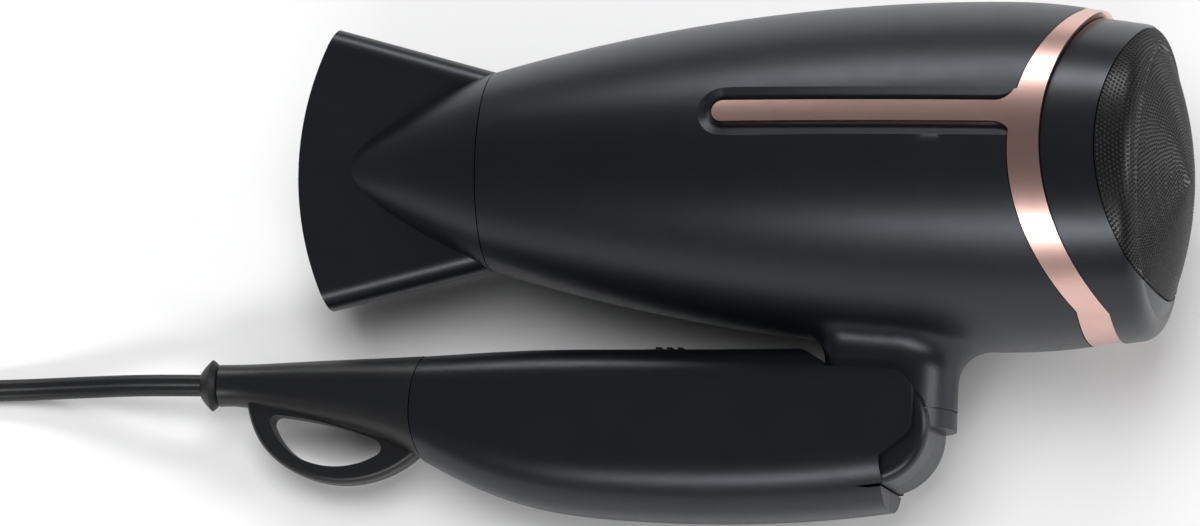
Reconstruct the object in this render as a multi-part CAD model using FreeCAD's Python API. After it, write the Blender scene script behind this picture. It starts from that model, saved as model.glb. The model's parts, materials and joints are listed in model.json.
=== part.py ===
"""Folding travel hair dryer with a fishtail nozzle, a domed intake and a twin mains cord.

Every piece is drawn in the dryer's working frame, in millimetres: x runs along the
barrel from its mouth (x = 0) to the intake, y runs across it and z up, with the
barrel's axis on y = z = 0.  The handle is drawn folded forward under the barrel.
At the end the whole dryer is laid on its side, the way it rests on a table.
"""
import FreeCAD, Part
import os
from math import degrees, pi, sqrt, tan

V = FreeCAD.Vector

# ---- barrel -----------------------------------------------------------------
BARREL_R = 41.0          # largest radius of the barrel
BARREL_X = 123.0         # where it is reached
FRONT_BOW = 438.0        # radius of the profile in front of it
REAR_BOW = 130.0         # and behind it
WALL = 2.2               # housing wall
GAP = 0.25               # visible joint line between neighbouring shells
SEAM = 0.1               # joint line between the two halves of a shell
MOUTH_R = 21.5           # bore that the nozzle's spigot turns in
MOUTH_LIP_R = 20.7       # lip that keeps the clip ring in
MOUTH_LIP = 0.9
MOUTH_DEPTH = 11.0
SIDE = 60.0              # half width of every cutting tool

# Edges that sweep forward on the barrel's flanks: (x, z) at the top, flank and bottom.
RING_FRONT = ((141.0, 38.0), (130.4, 13.0), (143.5, -34.0))
RING_REAR = ((145.5, 38.0), (137.5, 11.5), (151.2, -34.0))
MESH_RIM = ((156.5, 34.0), (149.6, 10.5), (161.9, -30.0))

# ---- trim finger and its channel on each flank ------------------------------
FINGER_Z = 10.5
FINGER_HALF = 2.5
FINGER_TIP_X = 61.0
FINGER_ROOT_X = 126.0
FINGER_FILLET = 5.0
CHANNEL_MARGIN = 3.4     # from the finger to the channel's outer edge
CHANNEL_DEPTH = 2.0
CHANNEL_FLOOR = 0.8      # width of its flat floor beside the finger
CHANNEL_SLOPE = 1.8      # depth of its sloping side
TRIM_DEPTH = 2.0

# ---- intake end ---------------------------------------------------------------
CAP_DROP = 1.0           # the rear cover sits this much below the barrel's axis
CAP_START_X = 126.0
CAP_START_R = 39.6
SHOULDER_X = 155.4
SHOULDER_R = 37.0
DOME_X = 159.3
DOME_R = 31.5
APEX_X = 166.2
CROWN_SAG = 1.8          # drop of the dome half way out from its apex
MESH_RECESS = 0.4
MESH_WALL = 1.2
COVER_WALL = 2.0
COVER_LIP = 3.6          # depth of the inner face of the cover's lip
LIP_REACH = 2.6          # how far the lip runs under the mesh
COLLAR_R = 33.3          # collar that centres the cover in the housing
COLLAR_X = 134.0
LINK_X = 151.6
COLLAR_END_X = 153.2
FRAME_X = 152.0          # flat spider behind the mesh
FRAME_R = 30.3
FRAME_RIM_DEPTH = 3.6
FRAME_BAR_DEPTH = 3.0
FRAME_BARS = 8
FRAME_RING_R = 22.0
FRAME_RING_TOP_X = 159.0
HUB_R = 7.5
HUB_TOP_X = 163.5

# ---- nozzle -------------------------------------------------------------------
NOZZLE_WALL = 1.8
BLADE_HALF = 6.0         # half thickness of the flat blade
BLADE_CORNER_X = -38.0
BLADE_CORNER_Z = 33.2
BLADE_FRONT_X = -46.0
BLADE_ROUND = 4.6
CONE_TIP = (-33.5, BLADE_HALF)
CONE_MID = (-16.0, 16.3)
NOZZLE_BASE_R = 23.4
SPIGOT_R = 19.9
SPIGOT_LENGTH = 9.6
RUNNING_FIT = 0.08

# ---- neck and fold hinge ------------------------------------------------------
HINGE_X = 93.8
HINGE_Z = -60.1
KNUCKLE_R = 14.2
NECK_HALF = 12.9
NECK_FRONT_X = 82.5
NECK_ROUND_X = 99.5
NECK_BACK_X = 112.4
NECK_FOOT_Z = -59.9
NECK_CORNER_R = 4.0      # upright corners at its front
NECK_BLEND_R = 8.0       # fillet that runs it into the barrel
NECK_GROOVE_Z = -55.9    # line round its back, above the handle
PIN_R = 2.5
PIN_HALF = 14.8

# ---- handle -------------------------------------------------------------------
HANDLE_WALL = 2.5
CHEEK_CLEAR_HALF = 13.3
KNUCKLE_CLEAR_R = 14.7
# Cross sections: x, top z, bottom z, half width, top corner radius, bottom corner radius.
HANDLE_SECTIONS = (
    (-18.0, -44.5, -66.6, 11.2, 7.0, 9.0),
    (-6.0, -43.9, -72.8, 12.8, 7.5, 10.5),
    (10.0, -43.0, -78.5, 14.4, 8.0, 12.0),
    (30.0, -42.6, -81.4, 15.6, 8.0, 13.0),
    (55.0, -42.3, -82.2, 16.0, 8.0, 13.5),
    (80.0, -41.8, -81.1, 16.0, 8.0, 13.5),
    (106.0, -41.4, -77.4, 16.0, 8.0, 13.0),
)
HANDLE_SEAM = ((-13.6, -44.5), (-16.1, -57.0), (-13.6, -69.5))

# ---- end cap, hanging loop and strain relief ------------------------------------
CAP_SECTIONS = (
    (-64.0, -46.4, -56.2, 4.9, 4.4, 4.4),
    (-56.0, -46.2, -56.6, 5.0, 4.4, 4.4),
    (-44.0, -45.6, -59.0, 6.6, 5.0, 5.5),
    (-30.0, -45.0, -62.4, 9.0, 6.0, 7.5),
    (-18.0, -44.5, -66.6, 11.2, 7.0, 9.0),
    (-12.0, -44.2, -69.4, 12.0, 7.2, 9.8),
)
LOOP_HALF = 3.6
LOOP_ROUND = 1.5
CORD_EXIT_X = -68.5
CORD_Z = -51.3
RELIEF_R = 4.0
FLARE_R = 6.05
FLARE_X = -65.9
RELIEF_TAIL_X = -42.0
LEAD_WAY_R = 2.9

# ---- heater, motor and fan --------------------------------------------------------
HEATER_X0, HEATER_X1 = 14.2, 60.0
SLEEVE_R = 23.6
SLEEVE_WALL = 0.8
BOARD_HALF = 0.4         # half thickness of the crossed boards
COIL_R = 17.0
COIL_WIRE_R = 0.5
COIL_TURNS = 10
COIL_PITCH = 4.0
MOTOR_X0, MOTOR_X1 = 67.0, 95.5
MOTOR_R = 14.6
SHAFT_R = 1.0
SHAFT_X0, SHAFT_X1 = 65.0, 117.0
VANES = 6
FAN_X0, FAN_X1 = 101.0, 118.0
FAN_HUB_R = 11.0
FAN_R = 33.4
FAN_BLADES = 7
FAN_BLADE_HALF = 7.8
FAN_BLADE_ANGLE = 52.0

# ---- screws in the shells: (x, z) ---------------------------------------------------
HOUSING_SCREWS = ((56.0, 30.8), (56.0, -30.8), (122.5, 36.2), (122.5, -36.2))
HANDLE_SCREWS = ((4.0, -68.5), (66.0, -74.5))

# ---- switch and voltage selector ----------------------------------------------------
SWITCH_X = 44.0          # middle of the knob in its off position
SWITCH_TRAVEL = 8.0
SWITCH_TOP = -42.4
SWITCH_DISH = 1.3        # depth of the dish that the knob slides in
KNOB_HALF_LENGTH = 6.0
KNOB_HALF_WIDTH = 4.0
SELECTOR_X = 14.0
SELECTOR_R = 4.6
SELECTOR_TOP = -43.1

# ---- how the dryer lies on the table, in degrees -----------------------------------
ROLL = 15.4              # turned until the handle meets the table too
PITCH = 5.5              # nose down, because the barrel tapers

# ---- cord and plug, placed as the dryer rests: z = 0 is the table --------------------
CORD_WIDTH = 5.3
CORD_THICK = 3.3
CORD_LAY_Z = CORD_THICK / 2
# Free route after the exit, down to the table and along it to the coil.
CORD_ROUTE = (
    (-129.0, -29.75, 9.65),
    (-145.0, -29.4, 5.2),
    (-162.0, -29.8, 2.1),
    (-179.0, -30.9, CORD_LAY_Z),
    (-194.0, -31.4, CORD_LAY_Z),
    (-206.0, -31.5, CORD_LAY_Z),
)
COIL_X, COIL_Y = -215.5, 7.8
COIL_INNER_R, COIL_OUTER_R = 19.7, 42.1
COIL_HEIGHT = 7.2
TURN_OUTER_R = 39.3
TIE_WIDTH = 10.0
TIE_THICK = 1.1
TAIL_Z = 5.3
PLUG_X = -243.0          # where the cord enters the plug's own strain relief
PLUG_Y = COIL_Y - TURN_OUTER_R
PLUG_Z = 7.0
PLUG_RELIEF = 18.0
PLUG_LENGTH = 34.0
PLUG_HALF_WIDTH = 16.5
PLUG_THICK = 14.0
PIN_SPACING = 19.0
PLUG_PIN_R = 2.4
PLUG_PIN_LENGTH = 19.0


# =============================== drawing helpers ================================
def outline(start, *steps):
    """Closed wire in the x-z plane.

    A step is a point, (via, end) for an arc, or a list of points for a smooth curve.
    """
    edges = []
    here = V(start[0], 0, start[1])
    for step in steps + (start,):
        if isinstance(step, list):
            points = [here] + [V(x, 0, z) for x, z in step]
            there = points[-1]
            curve = Part.BSplineCurve()
            curve.interpolate(points)
            edges.append(curve.toShape())
        elif isinstance(step[0], tuple):
            via = V(step[0][0], 0, step[0][1])
            there = V(step[1][0], 0, step[1][1])
            edges.append(Part.Arc(here, via, there).toShape())
        else:
            there = V(step[0], 0, step[1])
            if there.distanceToPoint(here) > 1e-6:
                edges.append(Part.LineSegment(here, there).toShape())
        here = there
    return Part.Wire(edges)


def slab(wire, y0=-SIDE, y1=SIDE):
    """Prism of an x-z outline between two values of y."""
    face = Part.Face(wire)
    face.translate(V(0, y0, 0))
    return face.extrude(V(0, y1 - y0, 0))


def turned(wire, axis_z=0.0):
    """Solid of revolution of an x-z outline about a line along x."""
    return Part.Face(wire).revolve(V(0, 0, axis_z), V(1, 0, 0), 360)


def rod(x0, x1, radius, y=0.0, z=0.0):
    """Round bar along x."""
    return Part.makeCylinder(radius, x1 - x0, V(x0, y, z), V(1, 0, 0))


def tube(x0, x1, outer, inner, y=0.0, z=0.0):
    return rod(x0, x1, outer, y, z).cut(rod(x0 - 1, x1 + 1, inner, y, z))


def cross_rod(radius, half, x, z, middle=0.0):
    """Round bar along y."""
    return Part.makeCylinder(radius, 2 * half, V(x, middle - half, z), V(0, 1, 0))


def block(x0, x1, y0, y1, z0, z1):
    return Part.makeBox(x1 - x0, y1 - y0, z1 - z0, V(x0, y0, z0))


def fused(shapes):
    shapes = list(shapes)
    return shapes[0].multiFuse(shapes[1:]).removeSplitter() if len(shapes) > 1 else shapes[0]


def near_half(shape):
    return shape.common(block(-300, 300, -SIDE * 2, -SEAM / 2, -200, 200))


def far_half(shape):
    return shape.common(block(-300, 300, SEAM / 2, SIDE * 2, -200, 200))


def rounded_section(x, top, bottom, half, top_round, bottom_round, inset=0.0):
    """Rounded rectangle across the handle's length."""
    top, bottom, half = top - inset, bottom + inset, half - inset
    corners = ((1, top, top_round), (1, bottom, bottom_round),
               (-1, bottom, bottom_round), (-1, top, top_round))
    edges = []
    joints = []
    for side, z, radius in corners:
        radius = max(radius - inset, 0.6)
        inward = 1 if z == bottom else -1
        centre = (side * (half - radius), z + inward * radius)
        flank = V(x, side * half, centre[1])
        flat = V(x, centre[0], z)
        via = V(x, centre[0] + side * radius * sqrt(0.5), centre[1] - inward * radius * sqrt(0.5))
        first, last = (flat, flank) if side * inward < 0 else (flank, flat)
        joints.append((first, via, last))
    for number, (first, via, last) in enumerate(joints):
        edges.append(Part.Arc(first, via, last).toShape())
        edges.append(Part.LineSegment(last, joints[(number + 1) % 4][0]).toShape())
    return Part.Wire(edges)


def lofted(sections, inset=0.0):
    return Part.makeLoft([rounded_section(*row, inset=inset) for row in sections], True)


# ================================== barrel skin =================================
def skin_radius(x, inset=0.0):
    bow = FRONT_BOW if x < BARREL_X else REAR_BOW
    return BARREL_R - bow + sqrt((bow - inset) ** 2 - (x - BARREL_X) ** 2)


def barrel(inset, x0, x1):
    """Solid barrel whose surface lies `inset` under the outer skin."""
    def on_skin(x):
        return (x, skin_radius(x, inset))
    steps = [on_skin(x0)]
    if x0 < BARREL_X:
        turn_x = min(x1, BARREL_X)
        steps.append((on_skin((x0 + turn_x) / 2), on_skin(turn_x)))
    if x1 > BARREL_X:
        turn_x = max(x0, BARREL_X)
        steps.append((on_skin((x1 + turn_x) / 2), on_skin(x1)))
    steps.append((x1, 0))
    return turned(outline((x0, 0), *steps))


def behind(edge, shift=0.0):
    """Everything rearward of a swept edge."""
    top, flank, bottom = [(x + shift, z) for x, z in edge]
    return slab(outline((top[0], SIDE), top, (flank, bottom), (bottom[0], -SIDE * 2),
                        (200, -SIDE * 2), (200, SIDE)))


def finger_outline(margin):
    """Finger that runs forward from the ring, grown by `margin`."""
    half = FINGER_HALF + margin
    low, high = FINGER_Z - half, FINGER_Z + half
    root = FINGER_ROOT_X
    ring = 134.0
    swing = FINGER_FILLET * (1 - sqrt(0.5))
    end = root + FINGER_FILLET
    return outline((FINGER_TIP_X, high),
                   (root, high),
                   ((end - swing, high + swing), (end, high + FINGER_FILLET)),
                   (ring, high + FINGER_FILLET),
                   (ring, low - FINGER_FILLET),
                   (end, low - FINGER_FILLET),
                   ((end - swing, low - swing), (root, low)),
                   (FINGER_TIP_X, low),
                   ((FINGER_TIP_X - half, FINGER_Z), (FINGER_TIP_X, high)))


def channel_outline(margin):
    half = FINGER_HALF + margin
    low, high = FINGER_Z - half, FINGER_Z + half
    return outline((FINGER_TIP_X, high), (146, high), (146, low), (FINGER_TIP_X, low),
                   ((FINGER_TIP_X - half, FINGER_Z), (FINGER_TIP_X, high)))


def between(outer, inner, x0, x1):
    """Layer of the barrel between two depths."""
    return barrel(outer, x0, x1).cut(barrel(inner, x0 - 1, x1 + 1))


def flanks():
    """The two sides of the barrel, where the trim fingers and their channels lie."""
    return fused([block(40, 150, -SIDE, -20, -20, 40), block(40, 150, 20, SIDE, -20, 40)])


def with_channels(solid):
    """Cuts a channel with sloping sides round each finger's place."""
    outer_air = barrel(-2, 40, 146).cut(barrel(CHANNEL_DEPTH, 39, 147))
    cut = solid.cut(outer_air.common(slab(channel_outline(CHANNEL_FLOOR))).common(flanks()))
    reach = FINGER_HALF + CHANNEL_FLOOR + 0.3

    def on_edge(edge):
        box = edge.BoundBox
        if edge.Length < 0.3 or box.XMin < 50 or box.XMax > 145.9 and box.XLength < 1:
            return False
        if box.XMax > 147 or box.ZMin < FINGER_Z - reach or box.ZMax > FINGER_Z + reach:
            return False
        middle = edge.valueAt((edge.FirstParameter + edge.LastParameter) / 2)
        return abs(sqrt(middle.y ** 2 + middle.z ** 2) - skin_radius(middle.x)) < 0.05
    rim = [edge for edge in cut.Edges if on_edge(edge)]
    return cut.makeChamfer(CHANNEL_MARGIN - CHANNEL_FLOOR, CHANNEL_SLOPE, rim)


# ===================================== neck =====================================
def neck_section(z, grow=0.0):
    """Section of the neck with rounded front corners and a bowed back."""
    half, front, r = NECK_HALF, NECK_FRONT_X, NECK_CORNER_R
    swing = r * (1 - sqrt(0.5))

    def at(x, y):
        return V(x, y, z)
    return Part.Wire([
        Part.LineSegment(at(front + r, -half), at(NECK_ROUND_X, -half)).toShape(),
        Part.Arc(at(NECK_ROUND_X, -half), at(NECK_BACK_X + grow, 0), at(NECK_ROUND_X, half)).toShape(),
        Part.LineSegment(at(NECK_ROUND_X, half), at(front + r, half)).toShape(),
        Part.Arc(at(front + r, half), at(front + swing, half - swing), at(front, half - r)).toShape(),
        Part.LineSegment(at(front, half - r), at(front, r - half)).toShape(),
        Part.Arc(at(front, r - half), at(front + swing, swing - half), at(front + r, -half)).toShape()])


def on_neck(box):
    """Whether an edge with this box lies where the neck meets the barrel."""
    return NECK_FRONT_X - 3 < box.XMin and box.XMax < NECK_BACK_X + 2 and -42 < box.ZMin and box.ZMax < -30


def barrel_with_neck():
    """Solid barrel with the neck run into it, before they are hollowed out."""
    post = Part.Face(neck_section(NECK_FOOT_Z)).extrude(V(0, 0, 35))
    both = barrel(0, GAP, 152).fuse(post).removeSplitter()
    rim = [e for e in both.Edges if e.Length > 0.5 and on_neck(e.BoundBox)]
    return both.makeFillet(NECK_BLEND_R, rim)


def knuckle():
    """Round foot of the neck, between the handle's cheeks."""
    disc = cross_rod(KNUCKLE_R, NECK_HALF, HINGE_X, HINGE_Z)
    return disc.makeFillet(2.5, [e for e in disc.Edges if e.Length > 50])


def neck_groove():
    """Fine line round the neck's back."""
    outside = Part.Face(neck_section(NECK_GROOVE_Z, 2))
    inside = Part.Face(neck_section(NECK_GROOVE_Z, -0.45))
    line = outside.cut(inside).extrude(V(0, 0, 0.5))
    return line.common(block(104, 130, -SIDE, SIDE, NECK_GROOVE_Z - 4, NECK_GROOVE_Z + 6))


def wire_way():
    """Passage for the leads from the barrel down to the knuckle."""
    down = Part.makeCylinder(4.0, 30, V(HINGE_X + 6.0, 0, HINGE_Z - 1.0), V(0, 0, 1))
    out = rod(HINGE_X - 20, HINGE_X + 6.0, 3.5, 0, HINGE_Z + 7.0)
    return down.fuse(out)


# ==================================== housing ===================================
def housing():
    """Barrel shell with the neck, before it is split down the middle."""
    outer = with_channels(barrel_with_neck()).cut(behind(RING_FRONT))
    seat = barrel(TRIM_DEPTH + 0.1, 118, 152).cut(behind(RING_REAR, -GAP))
    lining = barrel(CHANNEL_DEPTH, 40, 146)
    pads = slab(channel_outline(CHANNEL_MARGIN + 1.8)).common(lining)
    shell = fused([outer, seat, knuckle()]).cut(neck_groove())
    hollow = fused([rod(-1, MOUTH_LIP + GAP, MOUTH_LIP_R),
                    rod(MOUTH_LIP, MOUTH_DEPTH, MOUTH_R),
                    barrel(WALL, MOUTH_DEPTH, 126),
                    barrel(WALL + TRIM_DEPTH, 112, 160)])
    core = barrel(WALL + CHANNEL_DEPTH, 40, 160)
    hollow = hollow.cut(pads.cut(core))
    shell = shell.cut(hollow).cut(wire_way())
    return shell.cut(cross_rod(PIN_R, NECK_HALF + 1, HINGE_X, HINGE_Z))


def housing_screws():
    """Four self-tapping screws in bosses along the barrel."""
    screws = []
    for x, z in HOUSING_SCREWS:
        shank = Part.makeCylinder(1.3, 12, V(x, -4, z), V(0, 1, 0))
        head = Part.makeCylinder(2.5, 1.8, V(x, 8, z), V(0, 1, 0))
        screws.append(shank.fuse(head))
    return screws


def screw_bosses(radius):
    return [Part.makeCylinder(radius, 14, V(x, -5, z), V(0, 1, 0)) for x, z in HOUSING_SCREWS]


# ================================ trim and intake end ===========================
def trim_ring():
    skin = between(0, TRIM_DEPTH, 118, 152)
    band = skin.common(behind(RING_FRONT, GAP)).cut(behind(RING_REAR, -GAP))
    strip = between(0.2, TRIM_DEPTH - 0.1, 50, 150).common(slab(finger_outline(0.0)))
    strip = strip.cut(behind(RING_FRONT, GAP + 0.6))
    strip = strip.cut(with_channels(barrel(0, GAP, 152)))
    return fused([band, strip.common(flanks())])


def rear_body(inset):
    """Rear cover and dome as one solid of revolution on its own, lower axis."""
    def at(x, radius):
        return (x, radius - CAP_DROP)
    shoulder = (SHOULDER_X, SHOULDER_R - inset)
    corner = (DOME_X - inset * 0.7, DOME_R - inset * 0.7)
    apex = APEX_X - inset
    start_r = CAP_START_R - inset
    mid_x = (CAP_START_X + shoulder[0]) / 2
    flank_mid = (mid_x, (start_r + shoulder[1]) / 2 + 0.45)
    turn = (DOME_X - 0.9 - inset * 0.7, SHOULDER_R - 1.9 - inset * 0.85)
    crown = (apex - CROWN_SAG, corner[1] / 2)
    wire = outline(at(CAP_START_X, 0), at(CAP_START_X, start_r), (at(*flank_mid), at(*shoulder)),
                   (at(*turn), at(*corner)), (at(*crown), at(apex, 0)))
    return turned(wire, -CAP_DROP)


def rear_layer(outer, inner):
    return rear_body(outer).cut(rear_body(inner))


def rear_cover():
    """Ring-shaped cover with a lip behind the mesh's edge and a collar inside the housing."""
    shell = rear_layer(0, COVER_WALL).cut(behind(MESH_RIM))
    lip = rear_layer(COVER_WALL - 0.1, COVER_LIP).cut(behind(MESH_RIM, LIP_REACH))
    collar = tube(COLLAR_X, COLLAR_END_X, COLLAR_R, COLLAR_R - 1.8)
    link = tube(LINK_X, COLLAR_END_X, 40, COLLAR_R - 1.8).common(rear_body(COVER_WALL - 0.05))
    return fused([fused([shell, lip]).common(behind(RING_REAR)), link, collar])


def intake_mesh():
    """Fine domed mesh, a skin whose edge stands inside the rear cover's rim."""
    return rear_layer(MESH_RECESS, MESH_RECESS + MESH_WALL).common(behind(MESH_RIM, GAP))


def intake_frame():
    """Flat spider behind the mesh, whose hub and ring reach up to it."""
    parts = [rod(FRAME_X, HUB_TOP_X, HUB_R, 0, -CAP_DROP),
             tube(FRAME_X, FRAME_RING_TOP_X, FRAME_RING_R, FRAME_RING_R - 1.6, 0, -CAP_DROP),
             tube(FRAME_X, FRAME_X + FRAME_RIM_DEPTH, FRAME_R, FRAME_R - 2.0, 0, -CAP_DROP)]
    for number in range(FRAME_BARS):
        bar = block(FRAME_X, FRAME_X + FRAME_BAR_DEPTH, -0.9, 0.9, HUB_R - 1, FRAME_R - 0.5)
        bar.rotate(V(0, 0, 0), V(1, 0, 0), 360 / FRAME_BARS * number)
        bar.translate(V(0, 0, -CAP_DROP))
        parts.append(bar)
    return fused(parts)


# ===================================== nozzle ===================================
def nozzle_body(inset):
    """Fishtail blade run into a bowed cone, `inset` under the outer surface."""
    half = BLADE_HALF - inset
    base = NOZZLE_BASE_R - inset
    slope = (BLADE_CORNER_Z - NOZZLE_BASE_R) / -BLADE_CORNER_X
    reach = -BLADE_CORNER_X if inset == 0 else 60.0
    corner = base + slope * reach
    front = BLADE_FRONT_X if inset == 0 else -70.0
    blade = slab(outline((0, base), (-reach, corner), ((front, 0), (-reach, -corner)),
                         (0, -base)), -half, half)
    rounding = BLADE_ROUND - inset
    long_edges = [e for e in blade.Edges
                  if abs(e.Curve.Direction.x if hasattr(e.Curve, "Direction") else 0) > 0.9]
    blade = blade.makeFillet(rounding, long_edges)
    tip = (CONE_TIP[0] + inset * 1.6, max(CONE_TIP[1] - inset, 1.0))
    mid = (CONE_MID[0] + inset * 0.5, CONE_MID[1] - inset)
    cone = turned(outline((tip[0], 0), tip, (mid, (0, base)), (0, 0)))
    return blade.fuse(cone)


def nozzle():
    solid = nozzle_body(0)
    air = nozzle_body(NOZZLE_WALL)
    spigot = rod(-2.0, SPIGOT_LENGTH, SPIGOT_R)
    bore = rod(-6.0, SPIGOT_LENGTH + 1, SPIGOT_R - 1.5)
    return solid.fuse(spigot).cut(air.common(rod(-80, -1.8, 60))).cut(bore).removeSplitter()


def nozzle_clip_ring():
    """Ring that turns in the barrel's mouth and grips the nozzle's spigot."""
    return tube(MOUTH_LIP + GAP + 0.1, SPIGOT_LENGTH, MOUTH_R - RUNNING_FIT,
                SPIGOT_R + RUNNING_FIT)


# ==================================== air path ==================================
def outlet_grille():
    """Round grille behind the mouth, with rings and bars."""
    x0, x1 = MOUTH_DEPTH + 0.1, MOUTH_DEPTH + 2.6
    outer = skin_radius(x0, WALL) - 0.1
    parts = [tube(x0, x1, outer, outer - 3.2), tube(x0, x1, 13.4, 12.2), rod(x0, x1, 4.0)]
    for number in range(4):
        bar = block(x0, x1, -0.7, 0.7, -outer + 1, outer - 1)
        bar.rotate(V(0, 0, 0), V(1, 0, 0), 180 / 4 * number)
        parts.append(bar)
    return fused(parts)


def coil_rings(wire_r):
    rings = []
    for number in range(COIL_TURNS):
        centre = V(HEATER_X0 + 6 + COIL_PITCH * number, 0, 0)
        rings.append(Part.makeTorus(COIL_R, wire_r, centre, V(1, 0, 0)))
    return rings


def heater_boards():
    """Two crossed insulating boards, slotted into each other."""
    middle = (HEATER_X0 + HEATER_X1) / 2
    reach = SLEEVE_R - SLEEVE_WALL - 0.1
    slot = BOARD_HALF + 0.1
    flat = block(HEATER_X0, HEATER_X1, -reach, reach, -BOARD_HALF, BOARD_HALF)
    upright = block(HEATER_X0, HEATER_X1, -BOARD_HALF, BOARD_HALF, -reach, reach)
    flat = flat.cut(block(middle, HEATER_X1 + 1, -slot, slot, -1, 1))
    upright = upright.cut(block(HEATER_X0 - 1, middle, -1, 1, -slot, slot))
    notches = coil_rings(COIL_WIRE_R + 0.2)
    return flat.cut(notches), upright.cut(notches)


def motor_mount():
    """Funnel with straightening vanes; it holds the motor and narrows to the heater."""
    funnel = turned(outline((60.4, 22.0), (60.4, 24.4), ((70, 30.4), (84, 34.2)), (98, 35.2),
                            (98, 33.6), (84, 32.4), ((70.4, 28.4), (60.4, 22.0))))
    hub = tube(MOTOR_X0 + 1, MOTOR_X1 - 0.5, MOTOR_R + 1.6, MOTOR_R + 0.05)
    vanes = []
    for number in range(VANES):
        vane = block(72, 93, -0.7, 0.7, MOTOR_R + 0.9, 32.5)
        vane.rotate(V(0, 0, 0), V(1, 0, 0), 360 / VANES * number + 30)
        vanes.append(vane.common(turned(outline((70, 0), (70, 29.4), (84, 33.3), (98, 34.4), (98, 0)))))
    return fused([funnel, hub] + vanes)


def motor():
    """Closed motor can with a bearing boss at each end."""
    can = rod(MOTOR_X0, MOTOR_X1, MOTOR_R)
    boss = rod(MOTOR_X1, MOTOR_X1 + 2.5, 4.0)
    tail = rod(MOTOR_X0 - 2.4, MOTOR_X0, 3.4)
    bore = rod(MOTOR_X0 - 5, MOTOR_X1 + 5, SHAFT_R + 0.03)
    return fused([can, boss, tail]).cut(bore)


def motor_shaft():
    return rod(SHAFT_X0, SHAFT_X1, SHAFT_R)


def impeller():
    """Axial fan pressed on the shaft."""
    shoulder_x = FAN_X1 - 6
    solid = turned(outline((FAN_X0, 0), (FAN_X0, FAN_HUB_R), (shoulder_x, FAN_HUB_R),
                           ((FAN_X1 - 1.4, 7.6), (FAN_X1, 2.5)), (FAN_X1, 0)))
    for number in range(FAN_BLADES):
        blade = block(-FAN_BLADE_HALF, FAN_BLADE_HALF, -0.6, 0.6, FAN_HUB_R - 2, FAN_R)
        blade.rotate(V(0, 0, 0), V(0, 0, 1), FAN_BLADE_ANGLE)
        blade.translate(V((FAN_X0 + shoulder_x) / 2, 0, 0))
        blade.rotate(V(0, 0, 0), V(1, 0, 0), 360 / FAN_BLADES * number + 4.0)
        solid = solid.fuse(blade)
    return solid.cut(rod(FAN_X0 - 1, SHAFT_X1, SHAFT_R))


# ==================================== handle ====================================
def handle_profile():
    """Side view of the handle's hinge end, with its rounded cheek."""
    return outline((-40, -30), (72, -30), (72, -41.2), ((77.6, -42.4), (83.0, -46.6)),
                   (98.6, -47.2), ((103.2, -49.2), (104.6, -53.6)), (104.6, -59.6),
                   ((103.9, -61.6), (102.4, -63.0)), (97.2, -67.4), (97.2, -69.6),
                   (98.2, -76.0), (97.4, -95), (-40, -95))


def hinge_clearance():
    """Room between the cheeks that the neck turns in."""
    disc = cross_rod(KNUCKLE_CLEAR_R, CHEEK_CLEAR_HALF, HINGE_X, HINGE_Z)
    open_side = slab(outline((81.2, -30), (79.2, -47.0), (79.2, HINGE_Z), (HINGE_X, HINGE_Z - 14),
                             (97.4, -74.0), (97.4, -95), (130, -95), (130, -30)),
                     -CHEEK_CLEAR_HALF, CHEEK_CLEAR_HALF)
    return disc.fuse(open_side)


def handle_shell():
    outer = lofted(HANDLE_SECTIONS).common(slab(handle_profile()))
    outer = outer.common(behind(HANDLE_SEAM))
    hollow = lofted(HANDLE_SECTIONS, HANDLE_WALL)
    hollow = hollow.common(block(-60, 90, -SIDE, SIDE, -100, -30))
    hollow = hollow.common(behind(HANDLE_SEAM, 2.2))
    shell = outer.cut(hollow).cut(hinge_clearance())
    mouth = rod(-30, 0, 8.4, 0, CORD_Z - 3)
    shell = shell.cut(mouth)
    sockets = cross_rod(PIN_R, PIN_HALF, HINGE_X, HINGE_Z)
    shell = shell.cut(sockets)
    shell = shell.cut(switch_opening()).cut(selector_opening())
    for x, z in HANDLE_SCREWS:
        boss = cross_rod(3.2, 15.5, x, z).common(lofted(HANDLE_SECTIONS, 1.0))
        shell = shell.fuse(boss)
    return shell.cut([screw_shape(x, z) for x, z in HANDLE_SCREWS]).removeSplitter()


def screw_shape(x, z):
    """Countersunk self-tapping screw driven from the far side."""
    shank = Part.makeCylinder(1.4, 18, V(x, -8, z), V(0, 1, 0))
    head = Part.makeCylinder(2.6, 2.0, V(x, 10, z), V(0, 1, 0))
    access = Part.makeCylinder(2.6, 8, V(x, 12, z), V(0, 1, 0))
    return fused([shank, head, access])


def handle_screws():
    return [screw_shape(x, z).cut(Part.makeCylinder(3, 10, V(x, 12, z), V(0, 1, 0)))
            for x, z in HANDLE_SCREWS]


def switch_opening():
    dish = block(SWITCH_X - KNOB_HALF_LENGTH - 1, SWITCH_X + KNOB_HALF_LENGTH + SWITCH_TRAVEL + 1,
                 -KNOB_HALF_WIDTH - 0.5, KNOB_HALF_WIDTH + 0.5, SWITCH_TOP - SWITCH_DISH, SWITCH_TOP + 3)
    slot = block(SWITCH_X - 3, SWITCH_X + 3 + SWITCH_TRAVEL, -1.8, 1.8, SWITCH_TOP - 6, SWITCH_TOP)
    return dish.fuse(slot)


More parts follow.
